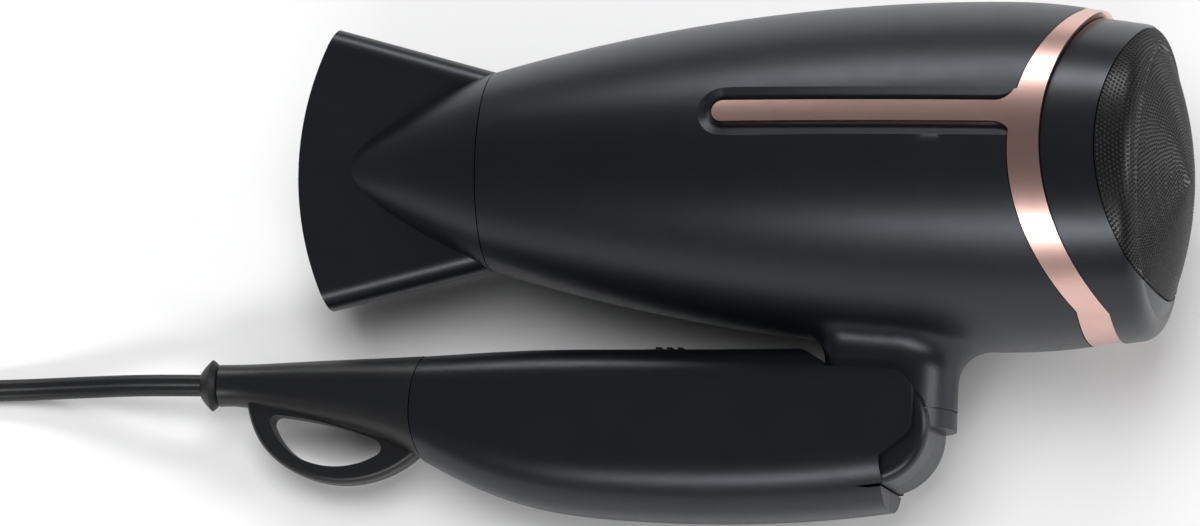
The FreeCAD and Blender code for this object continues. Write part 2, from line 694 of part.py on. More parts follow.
def switch_knob():
    """Thumb slide with three grip ribs and a stem that reaches the switch."""
    base = SWITCH_TOP - SWITCH_DISH + 0.3
    plate = block(SWITCH_X - KNOB_HALF_LENGTH, SWITCH_X + KNOB_HALF_LENGTH,
                  -KNOB_HALF_WIDTH, KNOB_HALF_WIDTH, base, base + 1.5)
    upright = [e for e in plate.Edges if abs(e.tangentAt(e.FirstParameter).z) > 0.9]
    plate = plate.makeFillet(1.6, upright)
    ribs = [block(SWITCH_X + 2.6 * n - 0.6, SWITCH_X + 2.6 * n + 0.6,
                  -3.2, 3.2, base + 1.2, base + 2.1) for n in (-1, 0, 1)]
    stem = block(SWITCH_X - 2.5, SWITCH_X + 2.5, -1.5, 1.5, base - 5.2, base + 0.5)
    return fused([plate, stem] + ribs)


def switch_body():
    z1 = SWITCH_TOP - 4.3
    case = block(SWITCH_X - 9, SWITCH_X + 17, -6.0, 6.0, z1 - 9.0, z1)
    way = block(SWITCH_X - 2.9, SWITCH_X + 2.9 + SWITCH_TRAVEL, -1.9, 1.9, z1 - 4.0, z1 + 1)
    pins = [block(SWITCH_X - 4 + 6 * n, SWITCH_X - 3.2 + 6 * n, -2.0, 2.0, z1 - 10.8, z1 - 8.9)
            for n in range(3)]
    return fused([case] + pins).cut(way)


def circuit_board():
    return block(SWITCH_X - 14, SWITCH_X + 20, -8.5, 8.5, SWITCH_TOP - 17.0, SWITCH_TOP - 15.3)


def selector_opening():
    return Part.makeCylinder(SELECTOR_R + RUNNING_FIT, 10,
                             V(SELECTOR_X, 0, SELECTOR_TOP - 8), V(0, 0, 1))


def voltage_dial():
    """Recessed dial with a coin slot."""
    dial = Part.makeCylinder(SELECTOR_R, 4.4, V(SELECTOR_X, 0, SELECTOR_TOP - 5.0), V(0, 0, 1))
    stem = Part.makeCylinder(2.0, 3.0, V(SELECTOR_X, 0, SELECTOR_TOP - 8.0), V(0, 0, 1))
    slot = block(SELECTOR_X - 3.6, SELECTOR_X + 3.6, -0.6, 0.6, SELECTOR_TOP - 1.8, SELECTOR_TOP)
    return fused([dial, stem]).cut(slot)


def selector_body():
    z1 = SELECTOR_TOP - 5.2
    case = block(SELECTOR_X - 7, SELECTOR_X + 7, -6.5, 6.5, z1 - 8.0, z1)
    return case.cut(Part.makeCylinder(2.0 + RUNNING_FIT, 3.2, V(SELECTOR_X, 0, z1 - 3.1), V(0, 0, 1)))


def cord_clamp():
    """Bridge with two screws that pins the cord inside the handle."""
    bar = block(-8.0, -2.5, -8.5, 8.5, CORD_Z - 5.6, CORD_Z - 2.0)
    screws = [Part.makeCylinder(1.4, 4.0, V(-5.2, side * 6.4, CORD_Z - 8.8), V(0, 0, 1))
              for side in (-1, 1)]
    return fused([bar] + screws)


def supply_leads():
    """Two insulated leads from the strain relief to the selector and the switch."""
    leads = []
    for side in (-1, 1):
        leads.append(rod(RELIEF_TAIL_X, SELECTOR_X - 7.1, 1.0, side * 1.3, CORD_Z))
        leads.append(rod(SELECTOR_X + 7.1, SWITCH_X - 9.1, 1.0, side * 1.3, CORD_Z - 0.8))
        leads.append(rod(SWITCH_X + 17.1, 78.0, 0.9, side * 2.2, CORD_Z + 0.5))
    return leads


def neck_leads():
    """Leads that run up through the neck to the motor and the heater."""
    leads = []
    for side in (-1, 1):
        x = HINGE_X + 6.0 + side * 1.5
        leads.append(Part.makeCylinder(0.9, 19.5, V(x, 0, HINGE_Z + 1.0), V(0, 0, 1)))
    return leads


# =========================== end cap and strain relief ==========================
def loop_plate():
    """Hanging loop: a flat bow under the cap with a half-moon opening."""
    bow = [(-56.9, -56.2), (-53.2, -65.2), (-44.6, -72.0), (-34.5, -74.4), (-24.9, -72.9),
           (-14.0, -65.6)]
    plate = slab(outline((-57.4, -50.0), bow, (-14.0, -50.0)), -LOOP_HALF, LOOP_HALF)
    long_edges = [e for e in plate.Edges if isinstance(e.Curve, Part.BSplineCurve)]
    return plate.makeFillet(LOOP_ROUND, long_edges)


def loop_hole():
    hole = slab(outline((-49.4, -58.4),
                        ((-36.0, -60.7), (-25.4, -64.2)),
                        ((-24.2, -65.8), (-25.1, -67.6)),
                        ((-34.6, -70.4), (-44.3, -68.3)),
                        ((-48.3, -65.0), (-50.9, -60.8)),
                        ((-50.9, -59.2), (-49.4, -58.4))), -20, 20)
    return hole


def end_cap():
    body = lofted(CAP_SECTIONS)
    body = body.cut(behind(HANDLE_SEAM, -GAP))
    solid = body.fuse(loop_plate().cut(behind(HANDLE_SEAM, -GAP))).cut(loop_hole())
    lead_way = rod(RELIEF_TAIL_X - 1, 0, LEAD_WAY_R, 0, CORD_Z)
    return solid.cut(relief_shape()).cut(lead_way).removeSplitter()


def relief_shape():
    """Bell-mouthed strain relief with a flange held in the cap."""
    r = RELIEF_R
    return turned(outline((CORD_EXIT_X, CORD_Z), (CORD_EXIT_X, CORD_Z + 3.1),
                          ((FLARE_X - 1.2, CORD_Z + 4.9), (FLARE_X, CORD_Z + FLARE_R)),
                          ((FLARE_X + 1.0, CORD_Z + 5.2), (FLARE_X + 1.9, CORD_Z + r)),
                          (-52.0, CORD_Z + r), (-52.0, CORD_Z + 4.4), (-50.0, CORD_Z + 4.4),
                          (-50.0, CORD_Z + r - 0.6), (RELIEF_TAIL_X, CORD_Z + r - 0.6),
                          (RELIEF_TAIL_X, CORD_Z)), CORD_Z)


# ================================= the whole dryer ==============================
def build():
    whole = housing()
    bosses = [boss.common(barrel(1.0, 5, 140)) for boss in screw_bosses(3.4)]
    whole = fused([whole] + bosses).cut(housing_screws())
    grip = handle_shell()
    boards = heater_boards()
    washers = [cross_rod(6.0, 0.15, HINGE_X, HINGE_Z, side * (NECK_HALF + 0.2)).cut(
        cross_rod(PIN_R, 3, HINGE_X, HINGE_Z, side * NECK_HALF)) for side in (-1, 1)]
    return {
        "housing_near": near_half(whole),
        "housing_far": far_half(whole),
        "housing_screws": Part.makeCompound(housing_screws()),
        "trim_ring": trim_ring(),
        "rear_cover": rear_cover(),
        "intake_mesh": intake_mesh(),
        "intake_frame": intake_frame(),
        "nozzle": nozzle(),
        "nozzle_clip_ring": nozzle_clip_ring(),
        "outlet_grille": outlet_grille(),
        "heater_board_flat": boards[0],
        "heater_board_upright": boards[1],
        "heating_coils": Part.makeCompound(coil_rings(COIL_WIRE_R)),
        "heater_sleeve": tube(HEATER_X0, HEATER_X1 + 0.3, SLEEVE_R, SLEEVE_R - SLEEVE_WALL),
        "thermostat": block(50, 58, 3.0, 9.0, 0.5, 3.5),
        "thermal_fuse": rod(46, 57, 1.6, -6.0, 2.2),
        "motor_mount": motor_mount(),
        "motor": motor(),
        "motor_shaft": motor_shaft(),
        "impeller": impeller(),
        "hinge_pin": cross_rod(PIN_R - 0.03, PIN_HALF - 0.1, HINGE_X, HINGE_Z),
        "hinge_washers": Part.makeCompound(washers),
        "neck_leads": Part.makeCompound(neck_leads()),
        "handle_near": near_half(grip),
        "handle_far": far_half(grip),
        "handle_screws": Part.makeCompound(handle_screws()),
        "switch_knob": switch_knob(),
        "switch_body": switch_body(),
        "circuit_board": circuit_board(),
        "voltage_dial": voltage_dial(),
        "selector_body": selector_body(),
        "cord_clamp": cord_clamp(),
        "supply_leads": Part.makeCompound(supply_leads()),
        "end_cap": end_cap(),
        "strain_relief": relief_shape(),
    }


# ================================ lying on the table ============================
def lie_down(shape, shift=V(0, 0, 0)):
    """Turn a shape from the working frame to the way the dryer rests."""
    shape = shape.copy()
    shape.rotate(V(0, 0, 0), V(1, 0, 0), -90 + ROLL)
    shape.rotate(V(0, 0, 0), V(0, 1, 0), -PITCH)
    shape.translate(shift)
    return shape


def resting_shift(shapes):
    """Shift that stands the laid shapes on z = 0, centred on the origin."""
    points = []
    for shape in shapes:
        points.extend(shape.tessellate(0.05)[0])
    spans = [(min(p[axis] for p in points), max(p[axis] for p in points)) for axis in range(3)]
    return V(-sum(spans[0]) / 2, -sum(spans[1]) / 2, -spans[2][0])


# ============================ mains cord on the table ===========================
# From here on, positions are those of the dryer as it rests: z = 0 is the table.


def cord_section(start, direction):
    """Rounded flat section of the twin cord, square to its direction."""
    half = (CORD_WIDTH - CORD_THICK) / 2
    r = CORD_THICK / 2
    side = direction.cross(V(0, 0, 1)).normalize()
    up = side.cross(direction).normalize()

    def at(across, above):
        return start + side * across + up * above
    return Part.Wire([
        Part.LineSegment(at(-half, -r), at(half, -r)).toShape(),
        Part.Arc(at(half, -r), at(half + r, 0), at(half, r)).toShape(),
        Part.LineSegment(at(half, r), at(-half, r)).toShape(),
        Part.Arc(at(-half, r), at(-half - r, 0), at(-half, -r)).toShape()])


def swept_cord(points):
    """Cord along straight runs joined by arcs as large as the two runs allow."""
    face = Part.Face(cord_section(points[0], points[1] - points[0]))
    here = points[0]
    pieces = []
    radii = []
    length = 0.0
    for before, corner, after in zip(points, points[1:], points[2:]):
        run_in, run_out = corner - before, after - corner
        turn = run_in.getAngle(run_out)
        setback = 0.45 * min(run_in.Length, run_out.Length)
        radius = setback / tan(turn / 2)
        axis = run_in.cross(run_out).normalize()
        first = corner - V(run_in).normalize() * setback
        centre = first + axis.cross(V(run_in).normalize()) * radius
        pieces.append(face.extrude(first - here))
        face.translate(first - here)
        pieces.append(face.revolve(centre, axis, degrees(turn)))
        face.rotate(centre, axis, degrees(turn))
        length += (first - here).Length + radius * turn
        radii.append(radius)
        here = corner + V(run_out).normalize() * setback
    pieces.append(face.extrude(points[-1] - here))
    length += (points[-1] - here).Length
    solid = fused(pieces)
    area = (CORD_WIDTH - CORD_THICK) * CORD_THICK + pi * CORD_THICK ** 2 / 4
    print("cord length %.1f, volume %.0f against %.0f, arc radii %s" % (
        length, solid.Volume, area * length, ["%.0f" % radius for radius in radii]))
    return solid


def coil_envelope():
    ring = Part.makeCylinder(COIL_OUTER_R, COIL_HEIGHT, V(COIL_X, COIL_Y, 0))
    ring = ring.cut(Part.makeCylinder(COIL_INNER_R, COIL_HEIGHT, V(COIL_X, COIL_Y, 0)))
    return ring.makeFillet(1.4, [e for e in ring.Edges if isinstance(e.Curve, Part.Circle)])


def coil_tie():
    """Strap round the bundle of turns, on the side away from the dryer's handle."""
    x0, x1 = COIL_X - TIE_WIDTH / 2, COIL_X + TIE_WIDTH / 2
    y0, y1 = COIL_Y + COIL_INNER_R - 0.3, COIL_Y + COIL_OUTER_R + 0.1
    inner = block(x0 - 1, x1 + 1, y0, y1, TIE_THICK, COIL_HEIGHT + 0.1)
    outer = block(x0, x1, y0 - TIE_THICK, y1 + TIE_THICK, 0, COIL_HEIGHT + 0.1 + TIE_THICK)
    long_edges = [e for e in outer.Edges if abs(e.tangentAt(e.FirstParameter).x) > 0.9]
    return outer.makeFillet(1.0, long_edges).cut(inner)


def plug_body():
    """Flat two-pin contour plug with a tapered relief."""
    def oval(x, half_width, half_thick):
        r = half_thick * 0.92
        rows = rounded_section(x, PLUG_Z + half_thick, PLUG_Z - half_thick, half_width, r, r)
        rows.translate(V(0, PLUG_Y, 0))
        return rows
    relief = Part.makeLoft([oval(PLUG_X, 3.3, 2.3), oval(PLUG_X - 8, 3.9, 2.9),
                            oval(PLUG_X - PLUG_RELIEF, 6.5, 5.0)], True)
    x0 = PLUG_X - PLUG_RELIEF
    half = PLUG_THICK / 2
    body = Part.makeLoft([oval(x0, 8.0, 5.4), oval(x0 - 5, 12.0, half - 0.3),
                          oval(x0 - 14, PLUG_HALF_WIDTH, half), oval(x0 - 26, PLUG_HALF_WIDTH, half),
                          oval(x0 - PLUG_LENGTH, PLUG_HALF_WIDTH - 1.2, half - 0.6)], True)
    return relief.fuse(body).removeSplitter()


def plug_pins():
    x1 = PLUG_X - PLUG_RELIEF - PLUG_LENGTH
    pins = []
    for side in (-1, 1):
        pin = rod(x1 - PLUG_PIN_LENGTH, x1, PLUG_PIN_R, PLUG_Y + side * PIN_SPACING / 2, PLUG_Z)
        tip = [e for e in pin.Edges if e.BoundBox.XMax < x1 - 1 and isinstance(e.Curve, Part.Circle)]
        pins.append(pin.makeFillet(1.2, tip))
    return pins


def mains_cord(cord_exit):
    """The cord's own pieces, from the strain relief to the plug."""
    coil = coil_envelope()
    tie = coil_tie()
    route = [cord_exit] + [V(*point) for point in CORD_ROUTE]
    tail = [V(COIL_X - 8.0, PLUG_Y, TAIL_Z), V(COIL_X - 18.0, PLUG_Y, PLUG_Z),
            V(PLUG_X, PLUG_Y, PLUG_Z)]
    return {
        "cord_tube": swept_cord(route),
        "cord_coil": coil.cut(tie),
        "coil_tie": tie,
        "cord_tail": swept_cord(tail),
        "plug_body": plug_body(),
        "plug_pins": Part.makeCompound(plug_pins()),
    }


def main():
    os.makedirs("parts", exist_ok=True)
    nodes = {name: lie_down(shape) for name, shape in build().items()}
    shift = resting_shift(nodes.values())
    for shape in nodes.values():
        shape.translate(shift)
    cord_exit = lie_down(Part.Vertex(V(CORD_EXIT_X, 0, CORD_Z)), shift).Point
    nodes.update(mains_cord(cord_exit))
    for name, shape in nodes.items():
        shape.exportStep("parts/%s.step" % name)
        print("%-22s solids %d volume %8.0f valid %s" % (
            name, len(shape.Solids), shape.Volume, shape.isValid()))
    marks = (("barrel axis", V(0, 0, 0)), ("hinge", V(HINGE_X, 0, HINGE_Z)),
             ("cord exit", V(CORD_EXIT_X, 0, CORD_Z)), ("dial", V(SELECTOR_X, 0, SELECTOR_TOP)))
    for label, point in marks:
        print(label, lie_down(Part.Vertex(point), shift).Point)
    for label, way in (("x", V(1, 0, 0)), ("y", V(0, 1, 0)), ("z", V(0, 0, 1))):
        print("working", label, "points to", lie_down(Part.Vertex(way)).Point)


main()
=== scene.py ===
"""Looks of the folding travel hair dryer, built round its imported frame. Lengths are in metres."""
import json
from math import cos, pi, radians, sin, sqrt

import bmesh
import bpy
from mathutils import Matrix, Vector
from mathutils.bvhtree import BVHTree


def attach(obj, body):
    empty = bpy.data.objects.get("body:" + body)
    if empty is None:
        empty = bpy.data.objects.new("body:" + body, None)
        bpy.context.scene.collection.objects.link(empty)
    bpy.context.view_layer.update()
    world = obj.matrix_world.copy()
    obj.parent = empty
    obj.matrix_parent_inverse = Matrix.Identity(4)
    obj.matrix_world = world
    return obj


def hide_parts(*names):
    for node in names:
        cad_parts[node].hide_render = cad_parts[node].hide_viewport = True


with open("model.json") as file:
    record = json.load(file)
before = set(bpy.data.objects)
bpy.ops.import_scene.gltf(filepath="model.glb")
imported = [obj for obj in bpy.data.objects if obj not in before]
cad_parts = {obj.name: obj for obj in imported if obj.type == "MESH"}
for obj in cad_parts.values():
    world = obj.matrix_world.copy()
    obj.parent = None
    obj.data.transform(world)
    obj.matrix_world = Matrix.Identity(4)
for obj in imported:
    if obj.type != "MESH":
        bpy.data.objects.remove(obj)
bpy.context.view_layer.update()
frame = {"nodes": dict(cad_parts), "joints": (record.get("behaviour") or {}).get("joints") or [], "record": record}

MM = 0.001
JOINTS = {joint["name"]: joint for joint in frame["joints"]}

# ---- the dryer's own axes: along the barrel, across it away from the camera, and up it ----
ALONG = Vector(JOINTS["fan_spin"]["axis"]).normalized()
ACROSS = -Vector(JOINTS["handle_fold"]["axis"]).normalized()
UPWARD = ALONG.cross(ACROSS)
MOUTH = Vector(JOINTS["nozzle_turn"]["pos_m"])


def place(x, y, z):
    """Point given in millimetres along, across and up the barrel, from the middle of its mouth."""
    return MOUTH + (ALONG * x + ACROSS * y + UPWARD * z) * MM


def direction(x, y, z):
    """Unit direction given along, across and up the barrel."""
    return (ALONG * x + ACROSS * y + UPWARD * z).normalized()


# ================================== camera ======================================
CAMERA_SIDE = 12.0           # degrees round the barrel from square on
CAMERA_DROP = 7.0            # and below it
CAMERA_TILT = 0.6            # degrees of roll
CAMERA_DISTANCE = 4.5        # metres from the plane of the barrel's mouth
VIEW_WIDTH = 0.282           # width of the picture there
SENSOR_WIDTH = 36.0
VIEW_CENTRE = (0.0247, -0.0213)   # right of and above the barrel's mouth, in the view


def add_camera():
    """Long lens that looks at the near flank, from a little behind and below square on."""
    side, drop = radians(CAMERA_SIDE), radians(CAMERA_DROP)
    back = direction(sin(side) * cos(drop), -cos(side) * cos(drop), -sin(drop))
    level = (ALONG - back * ALONG.dot(back)).normalized()
    above = back.cross(level)
    tilt = radians(CAMERA_TILT)
    right = level * cos(tilt) + above * sin(tilt)
    up = back.cross(right)
    data = bpy.data.cameras.new("camera")
    data.sensor_width = SENSOR_WIDTH
    data.lens = SENSOR_WIDTH * CAMERA_DISTANCE / VIEW_WIDTH
    data.clip_start = 0.05
    data.clip_end = 100.0
    camera = bpy.data.objects.new("camera", data)
    bpy.context.scene.collection.objects.link(camera)
    eye = MOUTH + right * VIEW_CENTRE[0] + up * VIEW_CENTRE[1] + back * CAMERA_DISTANCE
    turn = Matrix((right, up, back)).transposed().to_4x4()
    camera.matrix_world = Matrix.Translation(eye) @ turn
    bpy.context.scene.camera = camera


add_camera()


# ================================ node materials ================================
class Recipe:
    """A node material under construction, in the object's own coordinates."""

    def __init__(self, name):
        self.material = bpy.data.materials.new(name)
        self.material.use_nodes = True
        self.nodes = self.material.node_tree.nodes
        self.links = self.material.node_tree.links
        self.shader = self.nodes["Principled BSDF"]
        self.where = self.nodes.new("ShaderNodeTexCoord").outputs["Object"]
        self.height = None

    def set(self, **sockets):
        for name, value in sockets.items():
            self.shader.inputs[name.replace("_", " ")].default_value = value
        return self

    def noise(self, size, detail=3.0, stretch=(1, 1, 1)):
        """Noise whose features are about `size` metres across."""
        mapping = self.nodes.new("ShaderNodeMapping")
        mapping.inputs["Scale"].default_value = stretch
        self.links.new(self.where, mapping.inputs["Vector"])
        texture = self.nodes.new("ShaderNodeTexNoise")
        texture.inputs["Scale"].default_value = 1 / size
        texture.inputs["Detail"].default_value = detail
        self.links.new(mapping.outputs["Vector"], texture.inputs["Vector"])
        return texture.outputs["Fac"]

    def spread(self, factor, low, high, start=0.3, end=0.7):
        """Stretches a 0..1 factor between two values."""
        ranged = self.nodes.new("ShaderNodeMapRange")
        ranged.inputs["From Min"].default_value = start
        ranged.inputs["From Max"].default_value = end
        ranged.inputs["To Min"].default_value = low
        ranged.inputs["To Max"].default_value = high
        self.links.new(factor, ranged.inputs["Value"])
        return ranged.outputs["Result"]

    def blend(self, factor, first, second):
        """Colour between two others."""
        mix = self.nodes.new("ShaderNodeMix")
        mix.data_type = "RGBA"
        mix.inputs["A"].default_value = (*first, 1)
        mix.inputs["B"].default_value = (*second, 1)
        self.links.new(factor, mix.inputs["Factor"])
        return mix.outputs["Result"]

    def colour(self, factor, first, second):
        self.links.new(self.blend(factor, first, second), self.shader.inputs["Base Color"])
        return self

    def rough(self, factor, low, high):
        self.links.new(self.spread(factor, low, high), self.shader.inputs["Roughness"])
        return self

    def bump(self, factor, depth, strength=1.0):
        bump = self.nodes.new("ShaderNodeBump")
        bump.inputs["Distance"].default_value = depth
        bump.inputs["Strength"].default_value = strength
        self.links.new(factor, bump.inputs["Height"])
        if self.height is not None:
            self.links.new(self.height, bump.inputs["Normal"])
        self.height = bump.outputs["Normal"]
        self.links.new(self.height, self.shader.inputs["Normal"])
        return self


def moulded(name, base, tint, rough, grain=0.16 * MM, depth=0.006 * MM, **sockets):
    """Moulded plastic or rubber: fine spark-eroded grain, faint cloudiness and handling marks."""
    made = Recipe(name).set(**sockets)
    cloud = made.noise(14 * MM, 4.0)
    made.colour(made.spread(cloud, 0, 1), base, tint)
    made.rough(made.noise(5 * MM, 5.0), rough - 0.012, rough + 0.016)
    made.bump(made.noise(grain, 2.0), depth)
    made.bump(made.noise(12 * MM, 1.0), 0.004 * MM, 0.5)
    return made.material


def plated(name, base, tint, rough, stretch=(1, 1, 1), grain=0.3 * MM):
    """Metal or metallic lacquer with fine lay marks and slightly uneven gloss."""
    made = Recipe(name).set(Metallic=1.0)
    made.colour(made.spread(made.noise(9 * MM, 3.0), 0, 1), base, tint)
    made.rough(made.noise(grain, 3.0, stretch), rough - 0.02, rough + 0.02)
    made.bump(made.noise(grain, 2.0, stretch), 0.001 * MM)
    return made.material


def laminate(name, base, tint):
    """Pressed insulating board with fibres."""
    made = Recipe(name)
    made.colour(made.spread(made.noise(1.2 * MM, 5.0, (1, 6, 1)), 0, 1), base, tint)
    made.rough(made.noise(2 * MM), 0.55, 0.75)
    made.bump(made.noise(0.4 * MM, 3.0, (1, 6, 1)), 0.02 * MM)
    return made.material


def woven(name, base, tint):
    """Loop side of a hook-and-loop strap."""
    made = Recipe(name).set(Sheen_Weight=0.35, Sheen_Roughness=0.6)
    made.colour(made.spread(made.noise(0.5 * MM, 4.0), 0, 1), base, tint)
    made.rough(made.noise(0.6 * MM), 0.8, 0.95)
    made.bump(made.noise(0.35 * MM, 5.0), 0.12 * MM)
    return made.material


COOL = (0.86, 0.92, 1.0, 1.0)    # slightly blue gloss of the black plastic

MATERIALS = {
    "black_satin": moulded("black satin", (0.0042, 0.0046, 0.0060), (0.0054, 0.0058, 0.0074), 0.35,
                           Specular_Tint=COOL),
    "rear_satin": moulded("rear satin", (0.0042, 0.0045, 0.0056), (0.0052, 0.0056, 0.0068), 0.30,
                          Specular_Tint=COOL),
    "rose_gold": plated("rose gold", (0.72, 0.465, 0.415), (0.76, 0.495, 0.445), 0.31),
    "mesh_black": moulded("mesh black", (0.0035, 0.0036, 0.0042), (0.0050, 0.0052, 0.0060), 0.34),
    "inner_black": moulded("inner black", (0.006, 0.006, 0.006), (0.009, 0.009, 0.009), 0.5),
    "mica": laminate("mica", (0.55, 0.47, 0.34), (0.66, 0.60, 0.47)),
    "heater_wire": plated("heater wire", (0.36, 0.33, 0.31), (0.45, 0.41, 0.37), 0.38),
    "steel": plated("zinc-plated steel", (0.50, 0.50, 0.52), (0.58, 0.58, 0.59), 0.3),
    "motor_can": plated("motor can", (0.46, 0.46, 0.48), (0.52, 0.52, 0.53), 0.34, (1, 8, 8)),
    "fan_plastic": moulded("fan plastic", (0.05, 0.05, 0.055), (0.07, 0.07, 0.075), 0.45),
    "ceramic": moulded("ceramic", (0.72, 0.70, 0.65), (0.80, 0.78, 0.74), 0.35),
    "board": laminate("circuit board", (0.22, 0.13, 0.06), (0.28, 0.18, 0.09)),
    "lead": moulded("lead insulation", (0.02, 0.02, 0.024), (0.03, 0.03, 0.034), 0.5),
    "cap_black": moulded("cap black", (0.0052, 0.0056, 0.0066), (0.0066, 0.0070, 0.0080), 0.40),
    "relief_rubber": moulded("relief rubber", (0.006, 0.0065, 0.0075), (0.009, 0.0095, 0.0105), 0.5,
                             depth=0.012 * MM),
    "cord_black": moulded("cord sheath", (0.007, 0.0075, 0.0085), (0.010, 0.0105, 0.0115), 0.42,
                          depth=0.010 * MM),
    "plug_black": moulded("plug black", (0.008, 0.008, 0.009), (0.011, 0.011, 0.012), 0.46,
                          depth=0.012 * MM),
    "pin_plated": plated("nickel plate", (0.62, 0.60, 0.56), (0.68, 0.66, 0.61), 0.2),
    "tie": woven("tie strap", (0.02, 0.02, 0.022), (0.045, 0.045, 0.05)),
}


def paint(piece, slot):
    """Gives a piece the material of its slot and no other."""
    piece.data.materials.clear()
    piece.data.materials.append(MATERIALS[slot])


def new_piece(name, mesh, body, slot, *nodes):
    """A shown piece that rides on a body and may stand for CAD nodes."""
    piece = bpy.data.objects.new(name, mesh)
    bpy.context.scene.collection.objects.link(piece)
    paint(piece, slot)
    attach(piece, body)
    if nodes:
        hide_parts(*nodes)
    return piece


def smooth(mesh, angle=35.0):
    mesh.polygons.foreach_set("use_smooth", [True] * len(mesh.polygons))
    mesh.set_sharp_from_angle(angle=radians(angle))
    return mesh


for row in frame["record"]["subparts"]:
    node = frame["nodes"][row["node"]]
    paint(node, row["material_slot"])


# ==================================== the cord ==================================
CORD_WIDTH = 5.3 * MM
CORD_THICK = 3.3 * MM
CORD_LAY_Z = CORD_THICK / 2
CORD_EXIT = (-0.11594, -0.02975, 0.01091)
# The same route as the CAD model's, from the strain relief to the coil.
CORD_ROUTE = (
    (-0.1290, -0.02975, 0.00965),
    (-0.1450, -0.0294, 0.0052),
    (-0.1620, -0.0298, 0.0021),
    (-0.1790, -0.0309, CORD_LAY_Z),
    (-0.1940, -0.0314, CORD_LAY_Z),
    (-0.2060, -0.0315, CORD_LAY_Z),
)
COIL_CENTRE = (-0.2155, 0.0078)
TURN_RADII = (0.0393, 0.0337, 0.0281, 0.0225)
LAYER_Z = (0.00175, 0.0053)
TURN_POINTS = 16
TURN_STEP_START = 0.72       # share of a turn after which it steps over to the next radius
SPLINE_SHRINK = 0.75         # how far the spline cuts the corners between a turn's points
TAIL_ROUTE = (
    (-0.2235, -0.0315, LAYER_Z[1]),
    (-0.2335, -0.0315, 0.0070),
    (-0.2430, -0.0315, 0.0070),
)
CORD_SIDES = 24
LINE_STEPS = 8               # points read off each stretch of the spline


def ease(share):
    """Smooth step from 0 to 1."""
    share = min(max(share, 0.0), 1.0)
    return share * share * (3 - 2 * share)


def coil_points():
    """Turns wound inwards on the table, then outwards on top of them, clockwise from above."""
    bulge = 1 / cos(pi / TURN_POINTS) ** SPLINE_SHRINK
    lay = [(radius, LAYER_Z[0]) for radius in TURN_RADII]
    lay += [(radius, LAYER_Z[1]) for radius in reversed(TURN_RADII)]
    points = []
    for turn, (radius, z) in enumerate(lay):
        next_radius, next_z = lay[min(turn + 1, len(lay) - 1)]
        for number in range(TURN_POINTS):
            share = number / TURN_POINTS
            over = ease((share - TURN_STEP_START) / (1 - TURN_STEP_START))
            reach = (radius + (next_radius - radius) * over) * bulge
            angle = -pi / 2 - 2 * pi * share
            points.append((COIL_CENTRE[0] + reach * cos(angle), COIL_CENTRE[1] + reach * sin(angle),
                           z + (next_z - z) * over))
    points.append((COIL_CENTRE[0], COIL_CENTRE[1] - TURN_RADII[0], LAYER_Z[1]))
    return points


def cord_line():
    """Points read along the cord's own smooth line, a NURBS spline over its route."""
    route = [CORD_EXIT, *CORD_ROUTE, *coil_points(), *TAIL_ROUTE]
    curve = bpy.data.curves.new("cord line", "CURVE")
    curve.dimensions = "3D"
    spline = curve.splines.new("NURBS")
    spline.points.add(len(route) - 1)
    for point, at in zip(spline.points, route):
        point.co = (*at, 1)
    spline.order_u = 3
    spline.use_endpoint_u = True
    spline.resolution_u = LINE_STEPS
    holder = bpy.data.objects.new("cord line", curve)
    bpy.context.scene.collection.objects.link(holder)
    bpy.context.view_layer.update()
    line = bpy.data.meshes.new_from_object(holder.evaluated_get(bpy.context.evaluated_depsgraph_get()))
    points = [vertex.co.copy() for vertex in line.vertices]
    bpy.data.objects.remove(holder)
    bpy.data.meshes.remove(line)
    return points


def twin_section(turn):
    """Reach of the twin cord's section in one direction round its middle."""
    core = CORD_THICK / 2
    offset = CORD_WIDTH / 2 - core
    return offset * abs(cos(turn)) + sqrt(core ** 2 - (offset * sin(turn)) ** 2)


def add_cord():
    line = cord_line()
    mesh = bmesh.new()
    rings = []
    for number, point in enumerate(line):
        ahead = line[min(number + 1, len(line) - 1)] - line[max(number - 1, 0)]
        side = ahead.cross(Vector((0, 0, 1))).normalized()
        above = side.cross(ahead).normalized()
        ring = []
        for step in range(CORD_SIDES):
            turn = 2 * pi * step / CORD_SIDES
            reach = twin_section(turn)
            ring.append(mesh.verts.new(point + side * reach * cos(turn) + above * reach * sin(turn)))
        rings.append(ring)
    for first, second in zip(rings, rings[1:]):
        for step in range(CORD_SIDES):
            after = (step + 1) % CORD_SIDES
            mesh.faces.new((first[step], first[after], second[after], second[step]))
    mesh.faces.new(reversed(rings[0]))
    mesh.faces.new(rings[-1])
    bmesh.ops.recalc_face_normals(mesh, faces=mesh.faces)
    data = bpy.data.meshes.new("mains_cord")
    mesh.to_mesh(data)
    mesh.free()
    smooth(data, 60)
    cord = new_piece("mains_cord", data, "handle", "cord_black", "cord_tube", "cord_coil", "cord_tail")
    return cord


add_cord()


# ============================ embossing on the intake mesh ======================
STUD_PITCH = 1.08 * MM
STUD_RADIUS = 0.40 * MM
STUD_HEIGHT = 0.34 * MM
STUD_SIDES = 6
RIM_MARGIN = 0.55 * MM
ROW_PITCH = STUD_PITCH * 0.87
TIGHTEST_PITCH = STUD_PITCH * 0.84   # a row whose studs come closer than this gets fewer
DOME_CENTRE = (150.0, 0.0, -1.0)     # on the dome's axis, inside it
MERIDIANS = 240
STATIONS = 48
WIDEST_TILT = pi * 0.75              # past the dome's rim on every side
RIM_SEARCH_STEPS = 14


